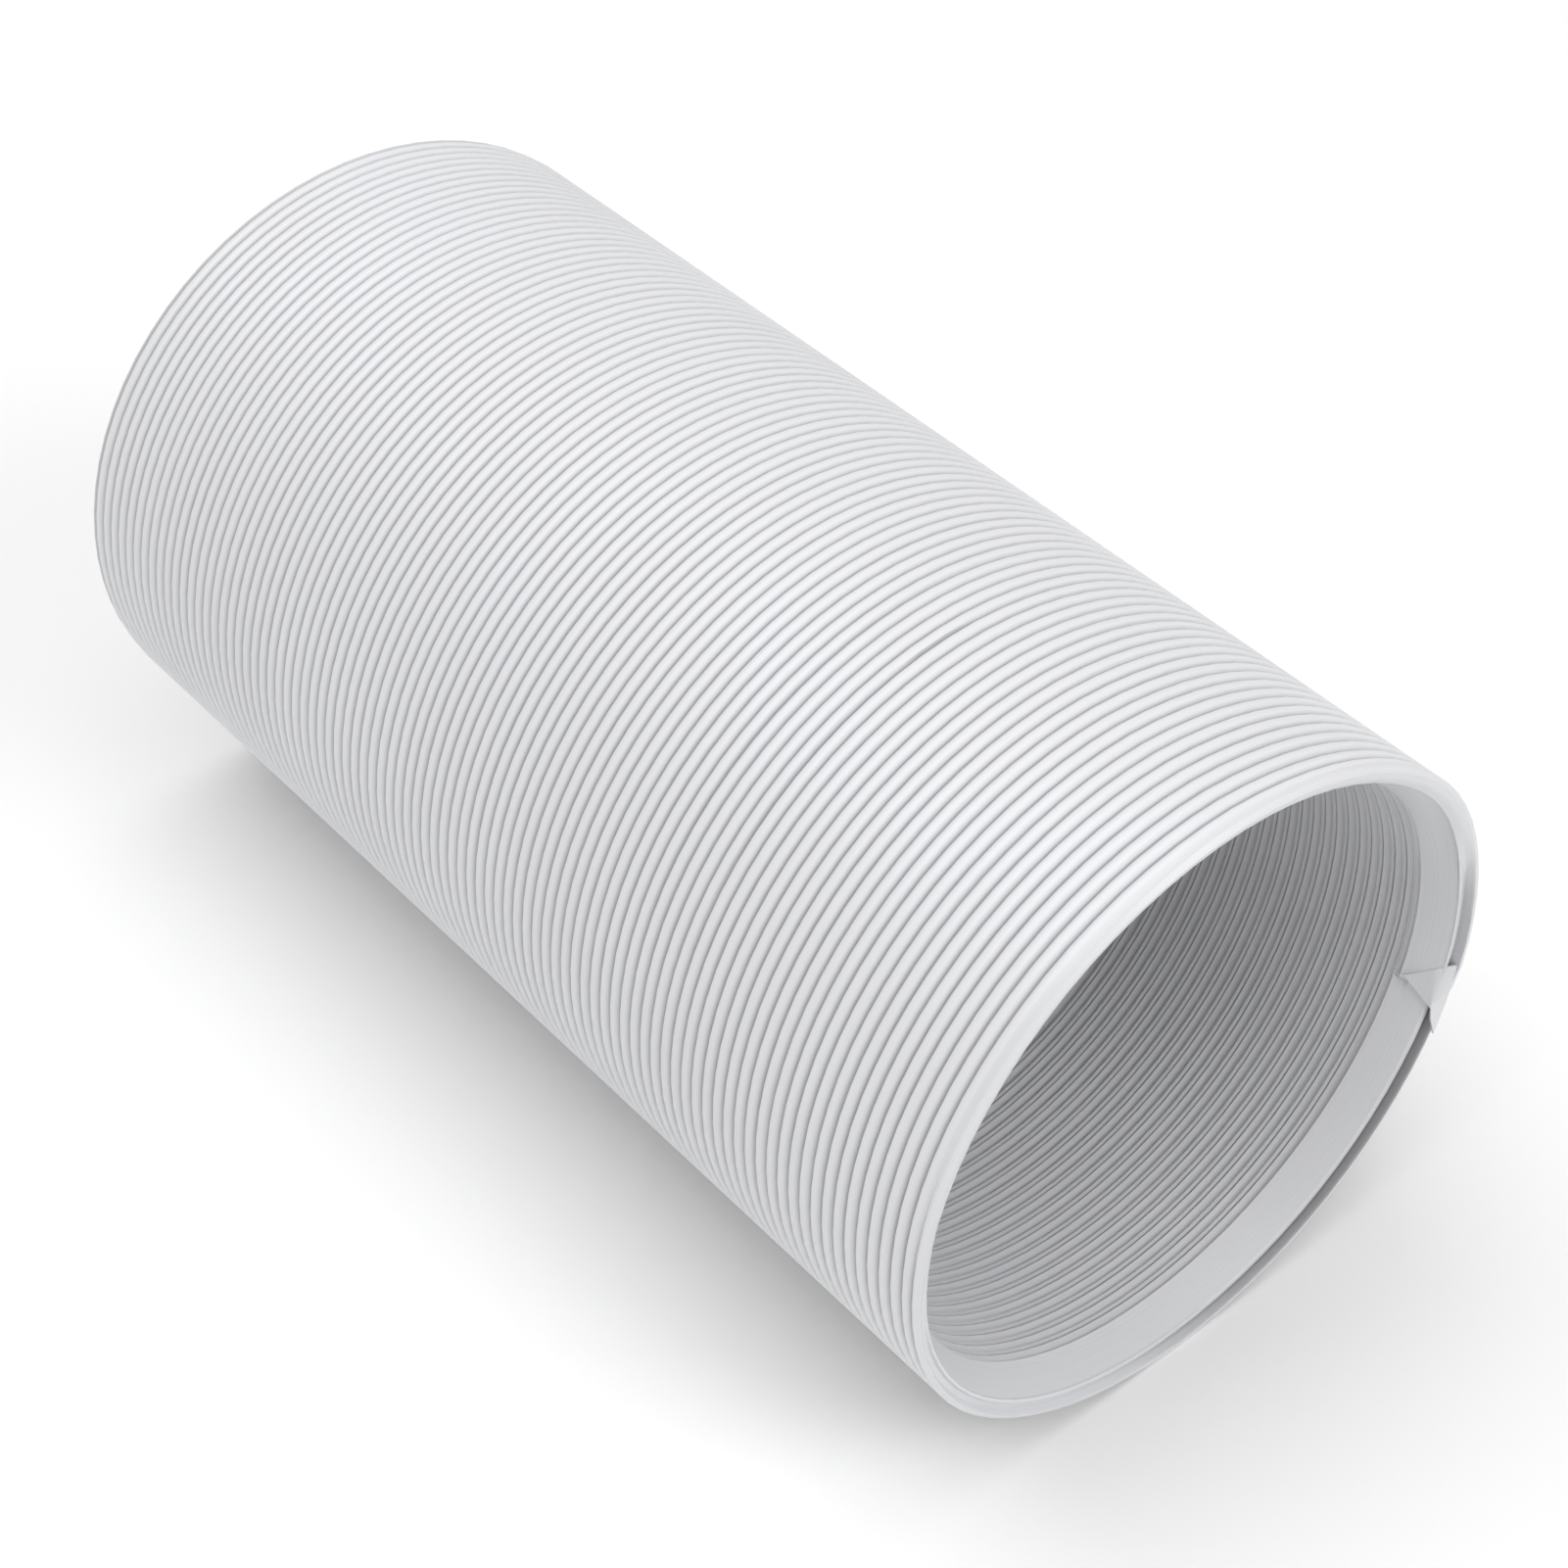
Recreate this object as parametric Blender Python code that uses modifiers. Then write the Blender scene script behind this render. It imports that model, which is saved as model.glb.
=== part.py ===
"""Air conditioner exhaust hose, pushed together to its shortest length and lying on its side.

One plastic strip is wound left-handed round the Y axis, and each turn hooks into the next.
The mouth in front is the end at -Y. The origin is on the floor under the hose's middle.
Units are metres.
"""

import math

import bmesh
import bpy
from mathutils import Matrix, Vector

# Driving dimensions
OUTER_DIAMETER = 0.150
RIB_PITCH = 0.00314
TURNS = 89
WALL = 0.0071
RIB_CREST = 0.0020
GROOVE_DEPTH = 0.0010
BAND_WALL = 0.0032
BAND_LENGTH = 0.0122

# Facets round the hose. One of them lies flat on the floor.
SIDES = 20
CUT_END_FACETS = 5.5

# Derived sizes
OUTER_RADIUS = OUTER_DIAMETER / 2
BORE_RADIUS = OUTER_RADIUS - WALL
BAND_RADIUS = OUTER_RADIUS - BAND_WALL
BAND_SLOPE = (BAND_RADIUS - BORE_RADIUS) / BAND_LENGTH
LENGTH = (TURNS + 1) * RIB_PITCH
FACET_ANGLE = 2 * math.pi / SIDES
CORNER = 1 / math.cos(FACET_ANGLE / 2)
CUT_END_ANGLE = CUT_END_FACETS * FACET_ANGLE
MERGE_DISTANCE = 0.00001
CUTTER_OVERRUN = 0.010
SMOOTH_ANGLE = math.radians(30)

PLASTIC_WHITE = (0.78, 0.79, 0.80, 1.0)


def clear_scene():
    for thing in list(bpy.data.objects):
        bpy.data.objects.remove(thing, do_unlink=True)


def new_collection(name):
    collection = bpy.data.collections.new(name)
    bpy.context.scene.collection.children.link(collection)
    return collection


def plastic_material(name, colour, roughness):
    material = bpy.data.materials.new(name)
    material.use_nodes = True
    shader = material.node_tree.nodes["Principled BSDF"]
    shader.inputs["Base Color"].default_value = colour
    shader.inputs["Roughness"].default_value = roughness
    shader.inputs["Metallic"].default_value = 0.0
    return material


def strip_section():
    """One turn's section as (distance from the axis, distance along it), to the facets' flats.

    It runs along the rib's crest, down and up the groove's two flanks, and back along the bore.
    """
    groove_middle = (RIB_CREST + RIB_PITCH) / 2
    return [
        (OUTER_RADIUS, 0.0),
        (OUTER_RADIUS, RIB_CREST),
        (OUTER_RADIUS - GROOVE_DEPTH, groove_middle),
        (OUTER_RADIUS, RIB_PITCH),
        (BORE_RADIUS, RIB_PITCH),
        (BORE_RADIUS, 0.0),
    ]


def section_object(collection):
    """The strip's section as a closed wire at the strip's cut end, in the plane through the axis."""
    outward = Vector((math.sin(CUT_END_ANGLE), 0.0, math.cos(CUT_END_ANGLE)))
    mesh = bpy.data.meshes.new("strip_section")
    wire = bmesh.new()
    corners = []
    for radius, along in strip_section():
        place = outward * radius * CORNER
        place.y = along - LENGTH / 2
        corners.append(wire.verts.new(place))
    for first, second in zip(corners, corners[1:] + corners[:1]):
        wire.edges.new((first, second))
    wire.to_mesh(mesh)
    wire.free()
    section = bpy.data.objects.new("strip_section", mesh)
    collection.objects.link(section)
    return section


def wind(section):
    """Winds the section into a left-handed helix, one pitch along +Y for each turn."""
    screw = section.modifiers.new("winding", "SCREW")
    screw.axis = "Y"
    screw.angle = -2 * math.pi
    screw.screw_offset = RIB_PITCH
    screw.iterations = TURNS
    screw.steps = SIDES
    screw.render_steps = SIDES
    screw.use_smooth_shade = False
    bpy.context.view_layer.update()
    graph = bpy.context.evaluated_depsgraph_get()
    return bpy.data.meshes.new_from_object(section.evaluated_get(graph))


def axis_distance(vertex):
    return math.hypot(vertex.co.x, vertex.co.z)


def is_seam(face):
    """A face that runs through the wall, from the bore out to the ribs."""
    distances = [axis_distance(vertex) for vertex in face.verts]
    return max(distances) - min(distances) > WALL / 2


def hook_turns_together(mesh):
    """Joins each turn to the next, so that the wound strip is one wall with two stepped ends."""
    wall = bmesh.new()
    wall.from_mesh(mesh)
    bmesh.ops.remove_doubles(wall, verts=wall.verts, dist=MERGE_DISTANCE)
    shared = {edge for edge in wall.edges if len(edge.link_faces) == 3}
    seams = [face for face in wall.faces if is_seam(face) and not shared.isdisjoint(face.edges)]
    bmesh.ops.delete(wall, geom=seams, context="FACES")
    boundary = [edge for edge in wall.edges if edge.is_boundary]
    bmesh.ops.holes_fill(wall, edges=boundary)
    bmesh.ops.recalc_face_normals(wall, faces=wall.faces)
    wall.to_mesh(mesh)
    wall.free()
    mesh.shade_smooth()
    mesh.set_sharp_from_angle(angle=SMOOTH_ANGLE)


def band_cutter(name, end, collection):
    """A tapered plug that clears the smooth band inside one end, with the wall's own facets.

    The band narrows from the rim to the bore. The plug runs on past both, so its two caps
    cut nothing.
    """
    wide = (BAND_RADIUS + BAND_SLOPE * CUTTER_OVERRUN) * CORNER
    narrow = (BORE_RADIUS - BAND_SLOPE * CUTTER_OVERRUN) * CORNER
    plug = bmesh.new()
    bmesh.ops.create_cone(
        plug,
        cap_ends=True,
        segments=SIDES,
        radius1=wide,
        radius2=narrow,
        depth=BAND_LENGTH + 2 * CUTTER_OVERRUN,
    )
    wide_end_out = Matrix.Rotation(end * math.pi / 2, 4, "X")
    facet_down = Matrix.Rotation(FACET_ANGLE / 2, 4, "Y")
    bmesh.ops.transform(plug, matrix=facet_down @ wide_end_out, verts=plug.verts)
    middle = end * (LENGTH - BAND_LENGTH) / 2
    bmesh.ops.translate(plug, vec=(0.0, middle, 0.0), verts=plug.verts)
    mesh = bpy.data.meshes.new(name)
    plug.to_mesh(mesh)
    plug.free()
    cutter = bpy.data.objects.new(name, mesh)
    cutter.hide_render = True
    cutter.display_type = "WIRE"
    cutter.location.z = OUTER_RADIUS
    collection.objects.link(cutter)
    return cutter


def duct_wall(collection, cutters):
    """The whole hose: the wound strip with a smooth band inside each end."""
    section = section_object(cutters)
    mesh = wind(section)
    mesh.name = "spiral_duct_wall"
    bpy.data.objects.remove(section, do_unlink=True)
    hook_turns_together(mesh)
    wall = bpy.data.objects.new("spiral_duct_wall", mesh)
    wall.location.z = OUTER_RADIUS
    mesh.materials.append(plastic_material("white_polypropylene", PLASTIC_WHITE, 0.45))
    collection.objects.link(wall)
    for name, end in (("near_band_cutter", -1), ("far_band_cutter", 1)):
        cut = wall.modifiers.new(name, "BOOLEAN")
        cut.operation = "DIFFERENCE"
        cut.object = band_cutter(name, end, cutters)
    return wall


def main():
    clear_scene()
    collection = new_collection("air_conditioner_exhaust_hose")
    cutters = new_collection("cutters")
    duct_wall(collection, cutters)


main()
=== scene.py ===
# %% [markdown]
# # A spiral-wound exhaust hose, pushed together
#
# This lesson dresses one real part: the plastic hose that leads the warm air out of a portable
# air conditioner. One polypropylene strip is wound left-handed into a tube. Its outer edge is a
# rounded hollow bead, and its other edge slides inside the next turns, so that the hose can be
# pushed together until the beads touch, as here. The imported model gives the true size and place,
# and everything below is worked out from it, in metres, with +Z up and the hose along +Y.

# %% Load the frame
import math

import bmesh
import bpy
from mathutils import Matrix, Vector


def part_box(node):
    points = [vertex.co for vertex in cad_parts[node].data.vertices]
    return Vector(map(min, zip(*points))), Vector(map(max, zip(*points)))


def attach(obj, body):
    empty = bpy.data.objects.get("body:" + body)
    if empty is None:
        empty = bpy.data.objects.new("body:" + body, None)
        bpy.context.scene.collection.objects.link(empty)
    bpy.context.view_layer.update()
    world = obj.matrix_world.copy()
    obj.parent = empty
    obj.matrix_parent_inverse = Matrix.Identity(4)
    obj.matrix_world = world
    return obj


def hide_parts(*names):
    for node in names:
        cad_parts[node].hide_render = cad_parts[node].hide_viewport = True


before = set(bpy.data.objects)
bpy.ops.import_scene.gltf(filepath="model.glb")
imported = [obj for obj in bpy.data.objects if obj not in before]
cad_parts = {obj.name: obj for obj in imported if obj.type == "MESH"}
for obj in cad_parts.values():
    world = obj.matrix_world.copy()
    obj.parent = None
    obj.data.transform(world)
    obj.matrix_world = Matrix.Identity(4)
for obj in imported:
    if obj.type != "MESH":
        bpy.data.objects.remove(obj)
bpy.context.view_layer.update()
low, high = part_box("spiral_duct_wall")
outer_radius = (high.x - low.x) / 2
hose_length = high.y - low.y
print(f"outer radius {outer_radius * 1000:.1f} mm, length {hose_length * 1000:.1f} mm")

# %% [markdown]
# ## The winding
#
# The strip climbs one rib pitch for each turn round the axis. Three numbers settle it: how many
# turns there are, how far apart the ribs are, and at what angle the strip's cut end lies. Angles
# run from straight up towards +X, as seen from the mouth, and the strip starts at its cut end and
# goes round the other way.

# %% The winding's sizes
TURNS = 89
rib_pitch = hose_length / (TURNS + 1)
CUT_ANGLE = math.radians(104.0)
axis_height = outer_radius
mouth_y = low.y
print(f"{TURNS} turns, {rib_pitch * 1000:.2f} mm apart")

# %% [markdown]
# ## The strip's section
#
# A wound thing is drawn best by its section, the outline that a saw cut through one turn would
# show. Outside it is a flat-topped rib with a narrow groove. Inside it is a sloping band, a fine
# line, a small ledge and a sharp drop to the next turn's band. The two sides that touch the
# neighbouring turns have the shape of the rim's hollow bead, because the first turn's side is the
# rim that shows in the mouth. The section is a ring of points, and each point also carries what
# the winding needs to know about it, as attributes.

# %% Section sizes
GROOVE_PLACE = 0.68
GROOVE_DEPTH = 0.00108
RIB_FLATNESS = 3.8
STEP_PLACE = 0.06
LINE_PLACE = 0.75
BAND_RISE = 0.0010
STEP_DEPTH = 0.0018
LINE_DEPTH = 0.0007
bore_radius = outer_radius - 0.0072
lip_radius = outer_radius - 0.0012
band_start_radius = outer_radius - 0.0037
BAND_SLOPE = 0.00143
BEAD_WALL = 0.0010
CHANNEL_WIDTH = 0.62
LIP_ROUNDING = 0.0010
SHARP_ANGLE = math.radians(50)
FAR_STEP_BACK = 0.1
FAR_STEP_START = 0.0012
FAR_STEP_FALL = 0.0020
LAST_INNER_TURN = 0.8
LAST_INNER_SPAN = 0.1


def rib_radius(turn):
    """Outer radius at a place that is given in turns along the hose."""
    across = ((turn - GROOVE_PLACE) % 1) * 2 - 1
    return outer_radius - GROOVE_DEPTH * abs(across) ** RIB_FLATNESS


def bore_profile():
    """The inner skin over one turn, as (turns past the step, radius, how deep in a recess)."""
    # The third number is how strongly painted shade darkens the colour there.
    return [
        (0.0, bore_radius + STEP_DEPTH, 1.0),
        (0.05, bore_radius + BAND_RISE, 0.2),
        (LINE_PLACE - 0.07, bore_radius + 0.0002, 0.0),
        (LINE_PLACE, bore_radius + LINE_DEPTH, 1.0),
        (LINE_PLACE + 0.06, bore_radius + 0.0001, 0.1),
        (0.985, bore_radius, 0.0),
    ]


# %% The section's points
def outer_points():
    """Points of the rib, close together in the groove, which is a recess."""
    # Each step's second number sets how strongly painted shade darkens the groove.
    steps = [(-0.68, 0.0), (-0.36, 0.0), (-0.17, 0.10), (-0.07, 0.38)]
    steps += [(0.0, 0.58), (0.07, 0.38), (0.17, 0.10)]
    places = [(GROOVE_PLACE + step, recess) for step, recess in steps]
    points = [(turn, rib_radius(turn), recess) for turn, recess in places]
    return [*points, (1.0, rib_radius(1.0), 0.0)]


def inner_points():
    """From the channel's foot, one turn on. Both ends lie part way along the sloping band."""
    profile = bore_profile()
    (start, start_radius, _), (stop, stop_radius, _) = profile[1], profile[2]
    share = (CHANNEL_WIDTH - STEP_PLACE - start) / (stop - start)
    foot_radius = start_radius + share * (stop_radius - start_radius)
    places = [(STEP_PLACE + turn, radius, recess) for turn, radius, recess in profile]
    ahead = [place for place in places if place[0] > CHANNEL_WIDTH]
    behind = [(turn + 1, radius, recess) for turn, radius, recess in places if turn < CHANNEL_WIDTH]
    first = (CHANNEL_WIDTH, foot_radius, 0.0)
    return [first, *ahead, *behind, (CHANNEL_WIDTH + 1, foot_radius, 0.0)]


def channel_points():
    """The hollow side of the bead, from the lip in to its bottom and out along the band."""
    wall = outer_radius - BEAD_WALL
    # The third numbers set how strongly painted shade darkens the channel.
    return [
        (0.04, lip_radius, 0.0),
        (0.30, wall, 0.8),
        (0.95, wall - 0.0001, 1.0),
        (0.95, band_start_radius + 0.0010, 1.0),
        (CHANNEL_WIDTH - 0.10, band_start_radius + 0.0007, 0.6),
    ]


def rolled_points():
    """Where the channel's points and the band's first point go when the lip is rolled in."""
    edge = band_start_radius
    return [
        (0.03, lip_radius - 0.0001),
        (0.09, edge + 0.0016),
        (0.20, edge + 0.0009),
        (0.34, edge + 0.0004),
        (0.48, edge - 0.0001),
        (0.56, edge - 0.0004),
    ]


def last_turn_place(skin, turn, radius):
    """Where a point of the section goes in the last turn, whose far side is the far rim."""
    if skin == "far":
        step = (outer_radius - radius) / (outer_radius - band_start_radius)
        return 1.0 - FAR_STEP_BACK * step, outer_radius - FAR_STEP_START - FAR_STEP_FALL * step
    if skin == "inner" and turn > LAST_INNER_TURN:
        share = (turn - LAST_INNER_TURN) / (CHANNEL_WIDTH + 1 - LAST_INNER_TURN)
        return LAST_INNER_TURN + LAST_INNER_SPAN * share, radius
    if skin == "outer" and turn == 1.0:
        return 1.0, outer_radius - LIP_ROUNDING
    return turn, radius


def section_ring():
    """Every point of the section in order, as (skin, turn, radius, recess)."""
    ring = [("outer", *point) for point in outer_points()]
    ring += [("far", turn + 1, radius, recess) for turn, radius, recess in channel_points()]
    ring += [("inner", *point) for point in reversed(inner_points())]
    ring += [("near", *point) for point in reversed(channel_points())]
    return ring


def rolled_shift(skin, turn, radius):
    """How far a near point moves along (in turns) and outward when the lip is rolled in."""
    plain = [(turns, distance) for turns, distance, _ in channel_points()]
    plain.append((CHANNEL_WIDTH, band_start_radius))
    if turn == CHANNEL_WIDTH:
        number = len(plain) - 1
    elif skin == "near":
        number = plain.index((turn, radius))
    else:
        return 0.0, 0.0
    rolled = rolled_points()[number]
    return rolled[0] - plain[number][0], rolled[1] - plain[number][1]


def point_facts(skin, turn, radius, recess):
    """What the winding needs to know about one point of the ring."""
    on_near = skin == "near" or (skin == "outer" and turn == 0) or turn == CHANNEL_WIDTH
    on_far = skin == "far" or (skin == "outer" and turn == 1) or turn == CHANNEL_WIDTH + 1
    roll_along, roll_out = rolled_shift(skin, turn, radius)
    last_turn, last_radius = last_turn_place(skin, turn, radius)
    end_turn, end_radius = last_turn, last_radius
    if on_near:
        twin = "far" if skin == "near" else skin
        end_turn, end_radius = last_turn_place(twin, turn + 1, radius)
        end_turn -= 1
    return {
        "outer": float(skin == "outer"),
        "inner": float(skin == "inner"),
        "near_side": float(on_near),
        "far_side": float(on_far),
        "rim_share": 1.0 - turn if skin == "outer" else float(on_near),
        "lip_drop": LIP_ROUNDING * (skin == "outer" and turn == 0),
        "roll_along": roll_along,
        "roll_out": roll_out,
        "recess": recess,
        "last_place": (last_turn * rib_pitch, last_radius, 0.0),
        "end_place": (end_turn * rib_pitch, end_radius, 0.0),
    }


def build_section():
    """The ring as a closed wire in the plane of X (along the hose) and Y (out from the axis)."""
    ring = section_ring()
    mesh = bpy.data.meshes.new("spiral_duct_hose")
    mesh.from_pydata(
        [(turn * rib_pitch, radius, 0.0) for _, turn, radius, _ in ring],
        [(number, (number + 1) % len(ring)) for number in range(len(ring))],
        [],
    )
    facts = [point_facts(*point) for point in ring]
    for name, first in facts[0].items():
        is_vector = isinstance(first, tuple)
        kept = mesh.attributes.new(name, "FLOAT_VECTOR" if is_vector else "FLOAT", "POINT")
        for slot, fact in zip(kept.data, facts):
            setattr(slot, "vector" if is_vector else "value", fact[name])
    piece = bpy.data.objects.new("spiral_duct_hose", mesh)
    bpy.context.scene.collection.objects.link(piece)
    return piece


hose = build_section()
print(f"the strip's section has {len(hose.data.vertices)} points")

# %% [markdown]
# ## Small helpers for node trees
#
# Both Geometry Nodes and shader trees are made of nodes, sockets and links. A few short helpers
# keep the rest readable. One fills a socket with a value or a link, one adds a node and fills its
# sockets, three do sums, one makes a smooth step, and one reads a named attribute.


# %% Node helpers
def fill(tree, socket, value):
    if isinstance(value, bpy.types.NodeSocket):
        tree.links.new(value, socket)
    elif value is not None:
        socket.default_value = value


def add_node(tree, kind, settings=None, **inputs):
    """Adds a node. A keyword gives a socket its value or link, with _ for a space."""
    node = tree.nodes.new(kind)
    for name, value in (settings or {}).items():
        setattr(node, name, value)
    for name, value in inputs.items():
        fill(tree, node.inputs[name.replace("_", " ")], value)
    return node


def calc(tree, operation, *values):
    """A Math node of that operation on sockets or plain numbers."""
    node = add_node(tree, "ShaderNodeMath", {"operation": operation})
    for socket, value in zip(node.inputs, values):
        fill(tree, socket, value)
    return node.outputs[0]


def total(tree, *values):
    result = values[0]
    for value in values[1:]:
        result = calc(tree, "ADD", result, value)
    return result


def product(tree, *values):
    result = values[0]
    for value in values[1:]:
        result = calc(tree, "MULTIPLY", result, value)
    return result


def smooth_step(tree, value, start, stop):
    """0 at start and 1 at stop, with a smooth run between."""
    settings = {"interpolation_type": "SMOOTHSTEP"}
    node = add_node(tree, "ShaderNodeMapRange", settings)
    fill(tree, node.inputs["Value"], value)
    fill(tree, node.inputs["From Min"], start)
    fill(tree, node.inputs["From Max"], stop)
    return node.outputs["Result"]


def named(tree, name, kind="FLOAT"):
    """The field of a named attribute."""
    node = add_node(tree, "GeometryNodeInputNamedAttribute", {"data_type": kind}, Name=name)
    return node.outputs["Attribute"]


# %% [markdown]
# ## The wound wall
#
# A Screw modifier could wind the section, but the mouth needs more than one plain screw: the
# band inside it, the bead that is tucked in at the cut end, and the first turns that lean. Round
# the top the bead is rolled closed into a lip and the first groove is filled, and further back two
# grooves stand open a little. So a Geometry Nodes tree sweeps the section along a straight rail
# only to get the faces, and then one Set Position node puts every point where the winding says.
# The sides of the turns that touch are deleted and their edges merged, which leaves a single
# closed wall. Every main size comes in through a named input. Where along a turn each of these
# begins and ends is a pair of numbers, the start of its smooth step and the stop.

# %% The tree's inputs
MERGE_DISTANCE = 0.00001
FLOAT = "NodeSocketFloat"
WALL_INPUTS = {
    "Turns": ("NodeSocketInt", TURNS),
    "Columns": ("NodeSocketInt", 73),
    "Step Width": (FLOAT, 0.0014),
    "Rib Pitch": (FLOAT, rib_pitch),
    "Outer Radius": (FLOAT, outer_radius),
    "Mouth Y": (FLOAT, mouth_y),
    "Axis Height": (FLOAT, axis_height),
    "Cut Angle": (FLOAT, CUT_ANGLE),
    "Band Radius": (FLOAT, band_start_radius),
    "Band Slope": (FLOAT, BAND_SLOPE),
    "Band Start": (FLOAT, CHANNEL_WIDTH),
    "Band Stop": (FLOAT, 3.02),
    "Band Dish": (FLOAT, 0.0006),
    "First Groove Fill": (FLOAT, 0.8),
    "Open Groove": (FLOAT, 22.0),
    "Open Groove Depth": (FLOAT, 0.0016),
    "Doubled Groove": (FLOAT, 26.0),
    "Doubled Groove Depth": (FLOAT, 0.0008),
    "Tuck": (FLOAT, 0.0021),
    "End Tuck": (FLOAT, 0.0009),
    "Mouth Lean": (FLOAT, -0.0018),
    "Mouth Lean Reach": (FLOAT, 0.065),
    "Far Lean": (FLOAT, 0.0012),
    "Far Squeeze": (FLOAT, -0.0006),
    "Far Lean Reach": (FLOAT, 0.030),
    "Far Lean Angle": (FLOAT, math.radians(-125)),
    "Unevenness": (FLOAT, 0.00010),
    "Seed": (FLOAT, 7.0),
    "Material": ("NodeSocketMaterial", None),
}


def new_tree(name, inputs):
    """An empty Geometry Nodes tree with its inputs, and their identifiers by name."""
    tree = bpy.data.node_groups.new(name, "GeometryNodeTree")
    tree.interface.new_socket("Geometry", in_out="INPUT", socket_type="NodeSocketGeometry")
    tree.interface.new_socket("Geometry", in_out="OUTPUT", socket_type="NodeSocketGeometry")
    identifiers = {}
    for label, (kind, _) in inputs.items():
        socket = tree.interface.new_socket(label, in_out="INPUT", socket_type=kind)
        identifiers[label] = socket.identifier
    given = tree.nodes.new("NodeGroupInput").outputs
    return tree, given, identifiers


# %% Sweep the section
def capture(tree, geometry, kind, name, value):
    """Keeps a field's values on the points. Returns the geometry and the kept values."""
    node = add_node(tree, "GeometryNodeCaptureAttribute", Geometry=geometry)
    node.capture_items.new(kind, name)
    fill(tree, node.inputs[name], value)
    return node.outputs["Geometry"], node.outputs[name]


def sweep(tree, given):
    """The section swept along a rail, and for each point its column's number and its place."""
    columns = calc(tree, "MULTIPLY", given["Turns"], given["Columns"])
    line = add_node(tree, "GeometryNodeCurvePrimitiveLine")
    rail = add_node(tree, "GeometryNodeResampleCurve", Curve=line.outputs[0])
    fill(tree, rail.inputs["Count"], calc(tree, "ADD", columns, 1))
    number = add_node(tree, "GeometryNodeInputIndex").outputs[0]
    counted, count = capture(tree, rail.outputs[0], "FLOAT", "Count", number)
    ring = add_node(tree, "GeometryNodeMeshToCurve", Mesh=given["Geometry"])
    position = add_node(tree, "GeometryNodeInputPosition").outputs[0]
    placed, place = capture(tree, ring.outputs[0], "VECTOR", "Place", position)
    swept = add_node(tree, "GeometryNodeCurveToMesh", Curve=counted, Profile_Curve=placed)
    fill(tree, swept.inputs["Fill Caps"], True)
    return swept.outputs[0], count, place


# %% Work out each point's place in the winding
def chosen(tree, switch, plain, special):
    node = add_node(tree, "GeometryNodeSwitch", {"input_type": "VECTOR"})
    for name, value in (("Switch", switch), ("False", plain), ("True", special)):
        fill(tree, node.inputs[name], value)
    return node.outputs[0]


def turn_fields(tree, given, count, place):
    """Whole turns, the part of a turn, and the turns from the rim, for each point."""
    rough = calc(tree, "DIVIDE", calc(tree, "ADD", count, 0.5), given["Columns"])
    last_whole = calc(tree, "SUBTRACT", given["Turns"], 1)
    whole = calc(tree, "MINIMUM", calc(tree, "FLOOR", rough), last_whole)
    column = calc(tree, "SUBTRACT", count, product(tree, whole, given["Columns"]))
    even = calc(tree, "DIVIDE", column, calc(tree, "SUBTRACT", given["Columns"], 1))
    long_part = product(tree, even, calc(tree, "SUBTRACT", 1, given["Step Width"]))
    part = calc(tree, "MINIMUM", long_part, 1)
    is_last = calc(tree, "GREATER_THAN", whole, calc(tree, "SUBTRACT", given["Turns"], 1.5))
    is_end = calc(tree, "GREATER_THAN", rough, given["Turns"])
    plain_or_last = chosen(tree, is_last, place, named(tree, "last_place", "FLOAT_VECTOR"))
    spot = chosen(tree, is_end, plain_or_last, named(tree, "end_place", "FLOAT_VECTOR"))
    parts = add_node(tree, "ShaderNodeSeparateXYZ", Vector=spot)
    first = calc(tree, "LESS_THAN", whole, 0.5)
    rolled = curve_field(tree, part, ROLLED_LIP)
    shift = product(tree, named(tree, "roll_along"), rolled, first)
    along = total(tree, calc(tree, "DIVIDE", parts.outputs["X"], given["Rib Pitch"]), shift)
    return {
        "whole": whole,
        "part": part,
        "turn": total(tree, whole, part),
        "along": along,
        "from_rim": total(tree, whole, along, product(tree, is_end, named(tree, "near_side"))),
        "first": first,
        "rolled": rolled,
        "radius": parts.outputs["Y"],
    }


# %% Curves against the part of a turn from the cut end
ROLLED_LIP = [
    (0.0, 0.25),
    (0.05, 0.28),
    (0.08, 0.60),
    (0.115, 1.0),
    (0.48, 1.0),
    (0.60, 0.42),
    (0.74, 0.38),
    (0.79, 0.25),
    (0.84, 0.08),
    (0.89, 0.0),
    (1.0, 0.0),
]


def curve_field(tree, value, places):
    """A smooth curve through those places, read at the value."""
    node = add_node(tree, "ShaderNodeFloatCurve", Value=value)
    curve = node.mapping.curves[0]
    for place in places[1:-1]:
        curve.points.new(*place)
    curve.points[0].location = places[0]
    curve.points[-1].location = places[-1]
    node.mapping.update()
    return node.outputs[0]


# %% Grooves that are shallower or deeper than the rest
FILLED_UNTIL = (0.56, 0.46)
OPENED_FROM = (0.25, 0.30)
OPENED_UNTIL = (0.48, 0.43)


def groove_fields(tree, given, fields):
    """How far the first turn's groove is filled, and how much deeper two opened grooves are."""
    recess = named(tree, "recess")
    is_groove = product(tree, calc(tree, "GREATER_THAN", recess, 0.1), named(tree, "outer"))
    near_cut = smooth_step(tree, fields["part"], *FILLED_UNTIL)
    filled = product(tree, given["First Groove Fill"], is_groove, near_cut, fields["first"])
    on_top = product(
        tree,
        smooth_step(tree, fields["part"], *OPENED_FROM),
        smooth_step(tree, fields["part"], *OPENED_UNTIL),
    )
    deeper = []
    for label in ("Open Groove", "Doubled Groove"):
        away = calc(tree, "ABSOLUTE", calc(tree, "SUBTRACT", fields["whole"], given[label]))
        is_here = calc(tree, "LESS_THAN", away, 0.5)
        deeper.append(product(tree, is_here, given[label + " Depth"]))
    return filled, product(tree, total(tree, *deeper), on_top, is_groove, recess)


# %% The band inside the ends
DISH_FROM = (0.62, 0.80)
DISH_UNTIL = (2.8, 1.0)
FULLY_ROLLED = (0.5, 1.0)
LIP_COVER = 2.5


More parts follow.
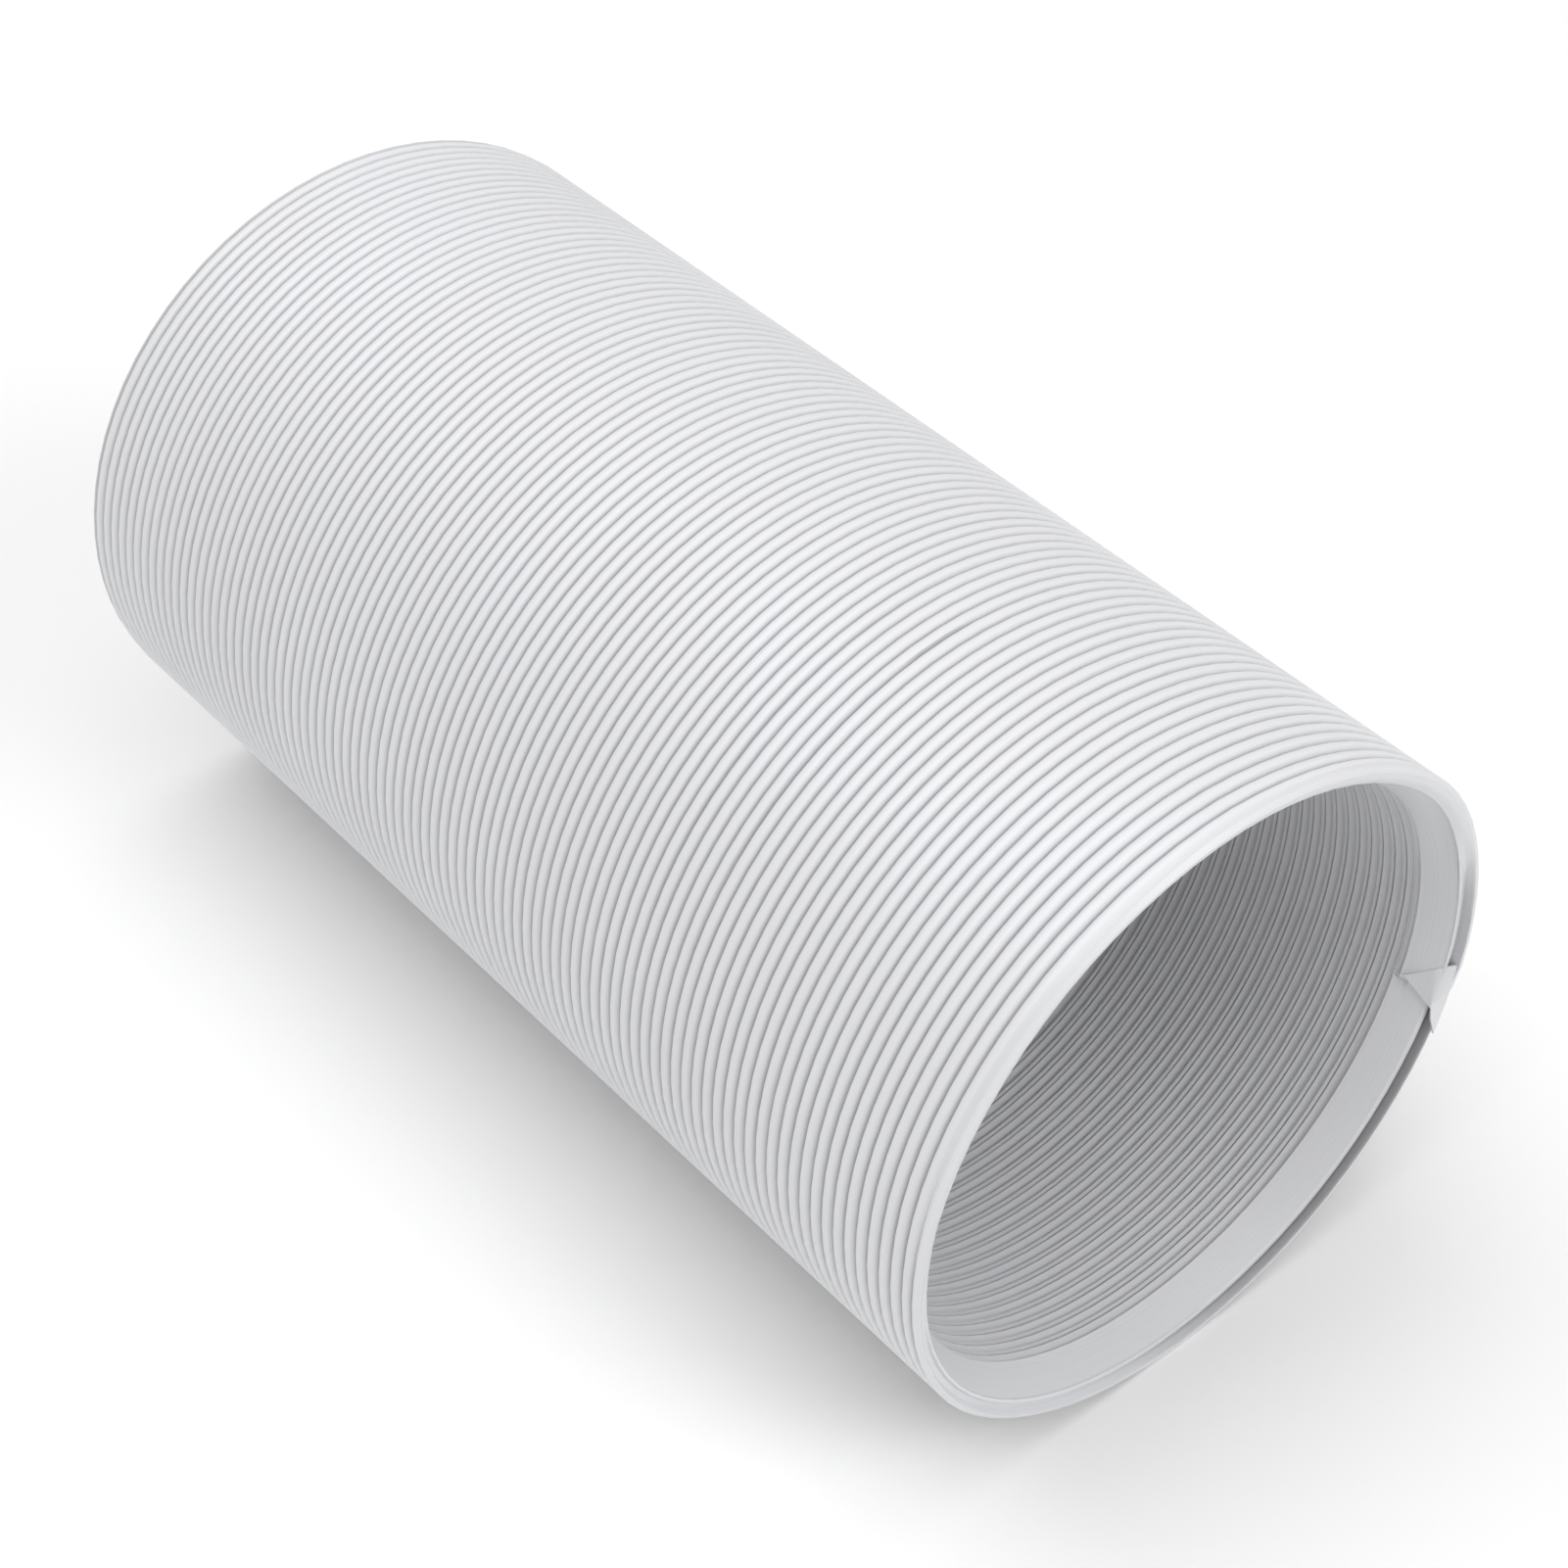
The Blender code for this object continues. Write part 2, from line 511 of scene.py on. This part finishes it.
def band_radius(tree, given, distance):
    """The tapered band inside an end, at a distance in turns from the rim."""
    past = calc(tree, "MAXIMUM", calc(tree, "SUBTRACT", distance, given["Band Start"]), 0)
    return calc(tree, "SUBTRACT", given["Band Radius"], product(tree, past, given["Band Slope"]))


def dish_field(tree, given, fields):
    """The hollow behind the rolled lip, as a share of the dish's depth."""
    start = smooth_step(tree, fields["from_rim"], *DISH_FROM)
    stop = smooth_step(tree, fields["from_rim"], *DISH_UNTIL)
    fully_rolled = smooth_step(tree, fields["rolled"], *FULLY_ROLLED)
    return product(tree, fully_rolled, start, stop, given["Band Dish"])


def radius_fields(tree, given, fields):
    """Each point's distance from the axis, and how deep in a recess it lies, as a painted-shade
    weight.
    """
    near_band = band_radius(tree, given, fields["from_rim"])
    near_band = total(tree, near_band, dish_field(tree, given, fields))
    far_distance = calc(tree, "SUBTRACT", given["Turns"], fields["from_rim"])
    bands = calc(tree, "MAXIMUM", near_band, band_radius(tree, given, far_distance))
    nearest_end = calc(tree, "MINIMUM", fields["from_rim"], far_distance)
    is_band = calc(tree, "LESS_THAN", nearest_end, given["Band Stop"])
    is_band = product(tree, is_band, named(tree, "inner"))
    extra = product(tree, calc(tree, "SUBTRACT", bands, fields["radius"]), is_band)
    lip = product(tree, named(tree, "lip_drop"), fields["first"])
    rolled = product(tree, fields["rolled"], fields["first"])
    filled, deeper = groove_fields(tree, given, fields)
    rise = product(tree, filled, calc(tree, "SUBTRACT", given["Outer Radius"], fields["radius"]))
    inward = total(tree, lip, deeper)
    roll_out = product(tree, named(tree, "roll_out"), rolled)
    outward = total(tree, fields["radius"], extra, rise, roll_out)
    under_lip = product(tree, named(tree, "near_side"), rolled, LIP_COVER)
    covers = (is_band, filled, calc(tree, "MINIMUM", under_lip, 1))
    uncovered = product(tree, *(calc(tree, "SUBTRACT", 1, cover) for cover in covers))
    return calc(tree, "SUBTRACT", outward, inward), product(tree, named(tree, "recess"), uncovered)


# %% How the turns depart from a true screw
MOUTH_LEAN = [
    (0.0, 0.0),
    (0.10, 0.25),
    (0.16, 0.70),
    (0.22, 0.80),
    (0.29, 0.45),
    (0.36, 0.18),
    (0.42, 0.06),
    (0.50, 0.25),
    (0.57, 0.60),
    (0.65, 0.40),
    (0.73, 0.10),
    (0.82, 0.0),
    (1.0, 0.0),
]


TUCKED_UNTIL = (0.20, 0.06)
END_TUCKED_UNTIL = (0.016, 0.006)
BAND_TUCKED_UNTIL = (4.2, 3.4)
BAND_GIVE = 0.08
STILL_RIM = 0.008
WANDER_SCALE = 2.3
EVEN_TURNS = 4


def fading(tree, distance, reach):
    return calc(tree, "EXPONENT", calc(tree, "DIVIDE", product(tree, distance, -1), reach))


def tuck_field(tree, given, fields):
    """The strip's first stretch is pushed back, and takes the bare band inside along."""
    ramp = smooth_step(tree, fields["part"], *TUCKED_UNTIL)
    inner = named(tree, "inner")
    past = calc(tree, "SUBTRACT", fields["from_rim"], given["Band Start"])
    weight = calc(tree, "SUBTRACT", 1, product(tree, past, BAND_GIVE))
    on_band = smooth_step(tree, fields["from_rim"], *BAND_TUCKED_UNTIL)
    band = product(tree, inner, weight, on_band)
    not_inner = calc(tree, "SUBTRACT", 1, inner)
    outside = product(tree, not_inner, named(tree, "rim_share"), fields["first"])
    near_cut = smooth_step(tree, fields["part"], *END_TUCKED_UNTIL)
    at_cut = product(tree, near_cut, outside, given["End Tuck"])
    return total(tree, product(tree, given["Tuck"], ramp, total(tree, band, outside)), at_cut)


def wander(tree, given, steps):
    """A slow random wander along the strip, from -1 to 1."""
    spot = add_node(tree, "ShaderNodeCombineXYZ", X=steps, Y=given["Seed"])
    noise = add_node(tree, "ShaderNodeTexNoise", {"noise_dimensions": "2D"}, Vector=spot.outputs[0])
    fill(tree, noise.inputs["Scale"], WANDER_SCALE)
    return calc(tree, "SUBTRACT", product(tree, noise.outputs[0], 2), 1)


def along_field(tree, given, fields, angle):
    """Each point's place along the hose."""
    steps = total(tree, fields["turn"], fields["along"])
    plain = product(tree, steps, given["Rib Pitch"])
    mouth = product(tree, curve_field(tree, fields["part"], MOUTH_LEAN), given["Mouth Lean"])
    past_rim = smooth_step(tree, plain, 0.0, STILL_RIM)
    near = product(tree, mouth, past_rim, fading(tree, plain, given["Mouth Lean Reach"]))
    side = calc(tree, "COSINE", calc(tree, "SUBTRACT", angle, given["Far Lean Angle"]))
    left = calc(tree, "SUBTRACT", product(tree, given["Turns"], given["Rib Pitch"]), plain)
    lean = total(tree, product(tree, given["Far Lean"], side), given["Far Squeeze"])
    far = product(tree, lean, fading(tree, left, given["Far Lean Reach"]))
    before_end = calc(tree, "SUBTRACT", given["Turns"], EVEN_TURNS)
    from_mouth = smooth_step(tree, steps, 1, EVEN_TURNS)
    inside = product(tree, from_mouth, smooth_step(tree, steps, given["Turns"], before_end))
    uneven = product(tree, wander(tree, given, steps), given["Unevenness"], inside)
    pushed = tuck_field(tree, given, fields)
    return total(tree, given["Mouth Y"], plain, near, far, uneven, pushed)


# %% Put the points there and close the wall
def hidden_faces(tree, given, turn):
    """The sides where two turns touch, inside the wall."""
    near = calc(tree, "GREATER_THAN", named(tree, "near_side"), 0.99)
    far = calc(tree, "GREATER_THAN", named(tree, "far_side"), 0.99)
    past_first = calc(tree, "GREATER_THAN", turn, 1)
    before_last = calc(tree, "LESS_THAN", turn, calc(tree, "SUBTRACT", given["Turns"], 1))
    return calc(tree, "MAXIMUM", product(tree, near, past_first), product(tree, far, before_last))


def build_wall_tree():
    tree, given, identifiers = new_tree("wound_strip_wall", WALL_INPUTS)
    mesh, count, place = sweep(tree, given)
    fields = turn_fields(tree, given, count, place)
    mesh, turn = capture(tree, mesh, "FLOAT", "Turn", fields["turn"])
    angle = calc(tree, "SUBTRACT", given["Cut Angle"], product(tree, fields["part"], 2 * math.pi))
    radius, recess = radius_fields(tree, given, fields)
    mesh, recess = capture(tree, mesh, "FLOAT", "Recess", recess)
    height = product(tree, radius, calc(tree, "COSINE", angle))
    spot = add_node(
        tree,
        "ShaderNodeCombineXYZ",
        X=product(tree, radius, calc(tree, "SINE", angle)),
        Y=along_field(tree, given, fields, angle),
        Z=total(tree, given["Axis Height"], height),
    )
    wound = add_node(tree, "GeometryNodeSetPosition", Geometry=mesh)
    fill(tree, wound.inputs["Position"], spot.outputs[0])
    # The recess weight is kept for the plastic, where it paints shade into the colour.
    kept = add_node(tree, "GeometryNodeStoreNamedAttribute", {"data_type": "FLOAT"})
    fill(tree, kept.inputs["Geometry"], wound.outputs[0])
    fill(tree, kept.inputs["Name"], "recess")
    fill(tree, kept.inputs["Value"], recess)
    settings = {"domain": "FACE"}
    opened = add_node(tree, "GeometryNodeDeleteGeometry", settings, Geometry=kept.outputs[0])
    fill(tree, opened.inputs["Selection"], hidden_faces(tree, given, turn))
    merged = add_node(tree, "GeometryNodeMergeByDistance", Geometry=opened.outputs[0])
    fill(tree, merged.inputs["Distance"], MERGE_DISTANCE)
    finish_tree(tree, given, merged.outputs[0])
    return tree, identifiers


def finish_tree(tree, given, mesh):
    """Smooth faces, one plain mesh and its material."""
    smooth = add_node(tree, "GeometryNodeSetShadeSmooth", Geometry=mesh)
    real = add_node(tree, "GeometryNodeRealizeInstances", Geometry=smooth.outputs[0])
    painted = add_node(tree, "GeometryNodeSetMaterial", Geometry=real.outputs[0])
    fill(tree, painted.inputs["Material"], given["Material"])
    result = tree.nodes.new("NodeGroupOutput")
    fill(tree, result.inputs[0], painted.outputs[0])


wall_tree, wall_identifiers = build_wall_tree()
print(f"the wall's tree has {len(wall_tree.nodes)} nodes")

# %% [markdown]
# ## A surface that has been handled
#
# No real surface is one flat colour. Two things show on almost every one: a fine grain, and soft
# patches where it has been touched, rubbed or dusted. The plastic and the floor both need them,
# only at other sizes, so they come from one shader group. The group gives out plain values, and
# each material decides what they do to its colour, its roughness and its relief.


# %% Shared surface group
def build_wear_group():
    """Grain and patches, both around 0.5, from a place and the size of each."""
    group = bpy.data.node_groups.new("grain_and_patches", "ShaderNodeTree")
    group.interface.new_socket("Place", in_out="INPUT", socket_type="NodeSocketVector")
    group.interface.new_socket("Grain Scale", in_out="INPUT", socket_type="NodeSocketFloat")
    group.interface.new_socket("Patch Scale", in_out="INPUT", socket_type="NodeSocketFloat")
    group.interface.new_socket("Grain", in_out="OUTPUT", socket_type="NodeSocketFloat")
    group.interface.new_socket("Patches", in_out="OUTPUT", socket_type="NodeSocketFloat")
    given = group.nodes.new("NodeGroupInput").outputs
    grain = add_node(group, "ShaderNodeTexNoise", Vector=given["Place"], Scale=given["Grain Scale"])
    patches = add_node(group, "ShaderNodeTexNoise", Vector=given["Place"], Scale=given["Patch Scale"])
    fill(group, patches.inputs["Detail"], 4.0)
    result = group.nodes.new("NodeGroupOutput").inputs
    fill(group, result["Grain"], grain.outputs[0])
    fill(group, result["Patches"], smooth_step(group, patches.outputs[0], 0.35, 0.65))
    return group


wear_group = build_wear_group()


def wear(tree, grain_scale, patch_scale):
    """The shared group in a material, read in the object's own coordinates."""
    place = tree.nodes.new("ShaderNodeTexCoord").outputs["Object"]
    node = add_node(tree, "ShaderNodeGroup", {"node_tree": wear_group}, Place=place)
    fill(tree, node.inputs["Grain Scale"], grain_scale)
    fill(tree, node.inputs["Patch Scale"], patch_scale)
    return place, node.outputs["Grain"], node.outputs["Patches"]


def spread(tree, value, low_end, high_end):
    """The value from 0 to 1 spread evenly between two ends."""
    node = add_node(tree, "ShaderNodeMapRange", Value=value)
    fill(tree, node.inputs["To Min"], low_end)
    fill(tree, node.inputs["To Max"], high_end)
    return node.outputs["Result"]


def blend(tree, share, first, second, how="MIX"):
    """Two colours mixed by a share."""
    node = add_node(tree, "ShaderNodeMix", {"data_type": "RGBA", "blend_type": how})
    for socket, value in zip((node.inputs[0], node.inputs[6], node.inputs[7]), (share, first, second)):
        fill(tree, socket, value)
    return node.outputs[2]


def relief(tree, height, depth, strength):
    """A bump from a height between 0 and 1, as a normal."""
    node = add_node(tree, "ShaderNodeBump", Height=height, Distance=depth, Strength=strength)
    return node.outputs[0]


# %% [markdown]
# ## The plastic
#
# The strip is extruded polypropylene: white, a little cool, and between matte and glossy. Molten
# plastic is pulled through a die, and tiny flaws in the die leave lines that run along the whole
# strip. Those lines follow the winding, so they are drawn in a coordinate that stays the same
# along the strip: the place along the hose less what the helix has climbed by that angle. The
# recesses get little light, so painted shade darkens their colour there, and they are
# duller than the ribs.

# %% Plastic material
WHITE = (0.73, 0.735, 0.755, 1.0)
# Painted shade: the darker colour that the recesses are painted with, for the light they don't get.
PAINTED_RECESS_SHADE = (0.35, 0.35, 0.365, 1.0)
HANDLED = (0.975, 0.97, 0.96, 1.0)
LINES_PER_TURN = 8.0
LINE_TINT = (0.97, 1.03)
PLASTIC_GRAIN_SCALE = 2600.0
PLASTIC_PATCH_SCALE = 22.0
PATCH_SHARE = 0.6
RIB_ROUGHNESS = (0.36, 0.46)
RECESS_DULLNESS = 0.25
GRAIN_DULLNESS = (-0.03, 0.03)
LINE_RELIEF = 0.7
GRAIN_RELIEF = 0.3
PLASTIC_RELIEF_DEPTH = 0.00004
PLASTIC_RELIEF_STRENGTH = 0.5


def die_lines(tree, place):
    """Lines along the strip, from 0 to 1."""
    spot = add_node(tree, "ShaderNodeSeparateXYZ", Vector=place)
    height = calc(tree, "SUBTRACT", spot.outputs["Z"], axis_height)
    angle = calc(tree, "ARCTAN2", spot.outputs["X"], height)
    climbed = calc(tree, "DIVIDE", angle, -2 * math.pi)
    turns = calc(tree, "SUBTRACT", calc(tree, "DIVIDE", spot.outputs["Y"], rib_pitch), climbed)
    noise = add_node(tree, "ShaderNodeTexNoise", {"noise_dimensions": "1D"}, W=turns)
    fill(tree, noise.inputs["Scale"], LINES_PER_TURN)
    fill(tree, noise.inputs["Detail"], 0.0)
    return noise.outputs[0]


def plastic_material():
    material = bpy.data.materials.new("white_polypropylene")
    material.use_nodes = True
    tree = material.node_tree
    shader = tree.nodes["Principled BSDF"]
    place, grain, patches = wear(tree, PLASTIC_GRAIN_SCALE, PLASTIC_PATCH_SCALE)
    lines = die_lines(tree, place)
    # Painted shade: the recess weight darkens the colour towards the painted shade colour, and also
    # dulls the roughness.
    recess = add_node(tree, "ShaderNodeAttribute", {"attribute_name": "recess"}).outputs["Fac"]
    plain = blend(tree, recess, WHITE, PAINTED_RECESS_SHADE)
    handled = blend(tree, product(tree, patches, PATCH_SHARE), plain, HANDLED, "MULTIPLY")
    lined = spread(tree, lines, *LINE_TINT)
    tint = add_node(tree, "ShaderNodeCombineColor", Red=lined, Green=lined, Blue=lined)
    fill(tree, shader.inputs["Base Color"], blend(tree, 1.0, handled, tint.outputs[0], "MULTIPLY"))
    rubbed = spread(tree, patches, *RIB_ROUGHNESS)
    grainy = spread(tree, grain, *GRAIN_DULLNESS)
    dull = total(tree, rubbed, product(tree, recess, RECESS_DULLNESS), grainy)
    fill(tree, shader.inputs["Roughness"], dull)
    height = total(tree, product(tree, lines, LINE_RELIEF), product(tree, grain, GRAIN_RELIEF))
    raised = relief(tree, height, PLASTIC_RELIEF_DEPTH, PLASTIC_RELIEF_STRENGTH)
    fill(tree, shader.inputs["Normal"], raised)
    return material


plastic = plastic_material()
print(f"the plastic's tree has {len(plastic.node_tree.nodes)} nodes")

# %% Wind the strip
WALL_INPUTS["Material"] = ("NodeSocketMaterial", plastic)


def grow(piece, tree, identifiers, values):
    """Runs a tree on a piece and keeps the result as its plain mesh."""
    modifier = piece.modifiers.new("shape", "NODES")
    modifier.node_group = tree
    for label, (_, value) in values.items():
        modifier[identifiers[label]] = value
    graph = bpy.context.evaluated_depsgraph_get()
    grown = bpy.data.meshes.new_from_object(piece.evaluated_get(graph))
    piece.modifiers.remove(modifier)
    grown.name = piece.name
    piece.data = grown
    return grown


def closed_report(mesh):
    """How many edges are open or shared by more than two faces, and the volume in litres."""
    check = bmesh.new()
    check.from_mesh(mesh)
    open_edges = sum(edge.is_boundary for edge in check.edges)
    shared = sum(len(edge.link_faces) > 2 for edge in check.edges)
    volume = check.calc_volume(signed=True)
    triangles = sum(len(face.verts) - 2 for face in check.faces)
    check.free()
    return f"{triangles} triangles, {open_edges} open edges, {shared} shared, {volume * 1000:.4f} l"


wall_mesh = grow(hose, wall_tree, wall_identifiers, WALL_INPUTS)
print(closed_report(wall_mesh))

# %% [markdown]
# ## The folded end
#
# Where the strip was cut off, its last bit is bent down over the band of the turn behind. It shows
# as a small triangle of bare strip with a bright edge strip beside it that runs out to a point.
# Two rows of corners describe it, the outer edge and the line between the strip and the triangle,
# and the triangle's own inner side runs from the fold's inner corner. Corners are given the way
# one would measure them on the hose: the angle from straight up, the distance behind the mouth
# and the distance from the axis. The sheet is then given the strip's thickness.

# %% The folded end's sizes
MILLIMETRE = 0.001
FOLD_OUTER = [
    (98.7, 2.75, 73.5),
    (102.6, 2.80, 74.0),
    (106.4, 2.75, 74.2),
    (112.3, 2.40, 74.0),
]
FOLD_LINE = [
    (99.2, 4.35, 71.0),
    (102.9, 4.05, 70.8),
    (106.9, 3.80, 70.8),
    (109.4, 3.00, 71.6),
    (112.3, 2.40, 74.0),
]
FOLD_CORNER = (103.3, 10.6, 67.9)
TRIANGLE_SHARE = 0.55
FOLD_COLUMNS = 20
FOLD_ROWS = 4
SHEET = 0.00045


# %% Fold the end
def between(first, second, share):
    return tuple(a + share * (b - a) for a, b in zip(first, second))


def along_row(row, share):
    """The place at a share of the way through a row of corners."""
    spot = share * (len(row) - 1)
    number = min(int(spot), len(row) - 2)
    return between(row[number], row[number + 1], spot - number)


def hose_place(corner):
    """A corner that is given as (degrees, mm behind the mouth, mm from the axis)."""
    angle = math.radians(corner[0])
    radius = corner[2] * MILLIMETRE
    across, height = radius * math.sin(angle), radius * math.cos(angle)
    return Vector((across, mouth_y + corner[1] * MILLIMETRE, axis_height + height))


def fold_grid():
    """Columns of corners from the fold to the point, each from the outer edge inward."""
    foot = along_row(FOLD_LINE, TRIANGLE_SHARE)
    columns = []
    for number in range(FOLD_COLUMNS + 1):
        share = number / FOLD_COLUMNS
        line = along_row(FOLD_LINE, share)
        column = [along_row(FOLD_OUTER, share), line]
        if share < TRIANGLE_SHARE:
            inner = between(FOLD_CORNER, foot, share / TRIANGLE_SHARE)
            column += [between(line, inner, row / FOLD_ROWS) for row in range(1, FOLD_ROWS + 1)]
        columns.append([hose_place(corner) for corner in column])
    return columns


def fold_sheet(sheet, columns):
    """Adds the faces between neighbouring columns. A shorter column ends the triangle."""
    rows = [[sheet.verts.new(place) for place in column] for column in columns]
    faces = []
    for left, right in zip(rows, rows[1:]):
        for number in range(len(left) - 1):
            corners = [left[number], left[number + 1]]
            corners += [right[place] for place in (number + 1, number) if place < len(right)]
            if len(right) < len(left) and number > 0:
                corners = [left[number], left[number + 1], right[1]]
            faces.append(sheet.faces.new(corners))
    return faces


def copy_in_order(sheet, mesh):
    """Copies the sheet to a mesh by place, since thickening orders its rim anew on each run."""
    corners = sorted(sheet.verts, key=lambda corner: tuple(corner.co))
    number = {corner: place for place, corner in enumerate(corners)}
    faces = [[number[corner] for corner in face.verts] for face in sheet.faces]
    mesh.from_pydata([corner.co for corner in corners], [], sorted(faces, key=sorted))


def add_fold(mesh):
    """Builds the folded sheet as a closed shell and adds it to the hose's mesh."""
    sheet = bmesh.new()
    faces = fold_sheet(sheet, fold_grid())
    bmesh.ops.remove_doubles(sheet, verts=sheet.verts, dist=MERGE_DISTANCE)
    bmesh.ops.recalc_face_normals(sheet, faces=sheet.faces)
    bmesh.ops.solidify(sheet, geom=sheet.faces, thickness=SHEET)
    bmesh.ops.recalc_face_normals(sheet, faces=sheet.faces)
    shell = bpy.data.meshes.new("folded_end")
    copy_in_order(sheet, shell)
    print("folded end:", closed_report(shell))
    joined = bmesh.new()
    joined.from_mesh(mesh)
    joined.from_mesh(shell)
    joined.to_mesh(mesh)
    sheet.free()
    joined.free()
    bpy.data.meshes.remove(shell)
    return len(faces)


print(f"{add_fold(wall_mesh)} faces in the folded end's sheet")
wall_mesh.set_sharp_from_angle(angle=SHARP_ANGLE)
print(closed_report(wall_mesh))
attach(hose, "root")
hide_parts("spiral_duct_wall")

# %% [markdown]
# ## The floor
#
# The hose lies on a plain white backdrop, the kind of matte card or paper sweep that goods are
# photographed on. Paper has a fine tooth and slight differences in how dull it is, which the
# shared group gives at paper's own sizes.

# %% Floor
FLOOR_HALF = 6.0
FLOOR_GRAIN_SCALE = 900.0
FLOOR_PATCH_SCALE = 3.0
PAPER_WHITE = (0.955, 0.955, 0.955, 1.0)
PAPER_WORN = (0.945, 0.945, 0.94, 1.0)
PAPER_ROUGHNESS = (0.85, 0.95)
PAPER_RELIEF_DEPTH = 0.00005
PAPER_RELIEF_STRENGTH = 0.3
floor_mesh = bpy.data.meshes.new("floor")
floor_mesh.from_pydata(
    [(x * FLOOR_HALF, y * FLOOR_HALF, 0.0) for x, y in ((-1, -1), (1, -1), (1, 1), (-1, 1))],
    [],
    [(0, 1, 2, 3)],
)
floor = bpy.data.objects.new("floor", floor_mesh)
bpy.context.scene.collection.objects.link(floor)


def paper_material():
    material = bpy.data.materials.new("white_paper_sweep")
    material.use_nodes = True
    tree = material.node_tree
    shader = tree.nodes["Principled BSDF"]
    _, grain, patches = wear(tree, FLOOR_GRAIN_SCALE, FLOOR_PATCH_SCALE)
    fill(tree, shader.inputs["Base Color"], blend(tree, patches, PAPER_WHITE, PAPER_WORN))
    fill(tree, shader.inputs["Roughness"], spread(tree, patches, *PAPER_ROUGHNESS))
    tooth = relief(tree, grain, PAPER_RELIEF_DEPTH, PAPER_RELIEF_STRENGTH)
    fill(tree, shader.inputs["Normal"], tooth)
    return material


floor_mesh.materials.append(paper_material())

# %% [markdown]
# ## Light
#
# White goods on white need soft light from large lamps, so that the ribs are told apart by gentle
# shading alone. A big soft box hangs above, a little to the left, and draws the light along the
# hose's crown. A weaker one stands high in front to the right and looks into the mouth, where it
# lights the left and the lower part of the bore. The world adds an even white glow all round.

# %% Light
world = bpy.data.worlds.new("studio")
bpy.context.scene.world = world
world.use_nodes = True
sky = world.node_tree.nodes["Background"]
sky.inputs["Color"].default_value = (1.0, 1.0, 1.0, 1.0)
sky.inputs["Strength"].default_value = 0.44
bpy.context.scene.view_settings.view_transform = "Standard"


def area_light(name, place, target, size, power):
    data = bpy.data.lights.new(name, "AREA")
    data.size = size
    data.energy = power
    light = bpy.data.objects.new(name, data)
    light.location = place
    light.rotation_euler = (Vector(target) - Vector(place)).to_track_quat("-Z", "Y").to_euler()
    bpy.context.scene.collection.objects.link(light)


area_light("overhead_softbox", (-0.45, 0.25, 2.0), (0.0, 0.0, 0.0), 2.2, 32.0)
area_light("mouth_fill", (0.6, -1.9, 1.6), (0.0, -0.1, axis_height), 1.2, 18.5)

# %% [markdown]
# ## The camera
#
# The camera stands in front of the mouth, to its left and well above it, and looks down along the
# hose. Its place and its two directions were worked out from the outline of the hose: the two
# straight sides give the direction of the axis, and the mouth's curve gives the distance. The lens
# is a short telephoto, so the far end is only a little smaller than the mouth.

# %% Camera
CAMERA_PLACE = Vector((-0.32788, -0.40549, 0.53702))
CAMERA_RIGHT = Vector((0.76708, -0.64150, 0.0))
CAMERA_UP = Vector((0.43346, 0.51839, 0.73710))
camera_data = bpy.data.cameras.new("camera")
camera_data.lens = 75.0
camera_data.sensor_width = 36.0
camera_data.clip_start = 0.05
camera = bpy.data.objects.new("camera", camera_data)
backwards = CAMERA_RIGHT.cross(CAMERA_UP)
turning = Matrix((CAMERA_RIGHT, CAMERA_UP, backwards)).transposed().to_4x4()
camera.matrix_world = Matrix.Translation(CAMERA_PLACE) @ turning
bpy.context.scene.collection.objects.link(camera)
bpy.context.scene.camera = camera
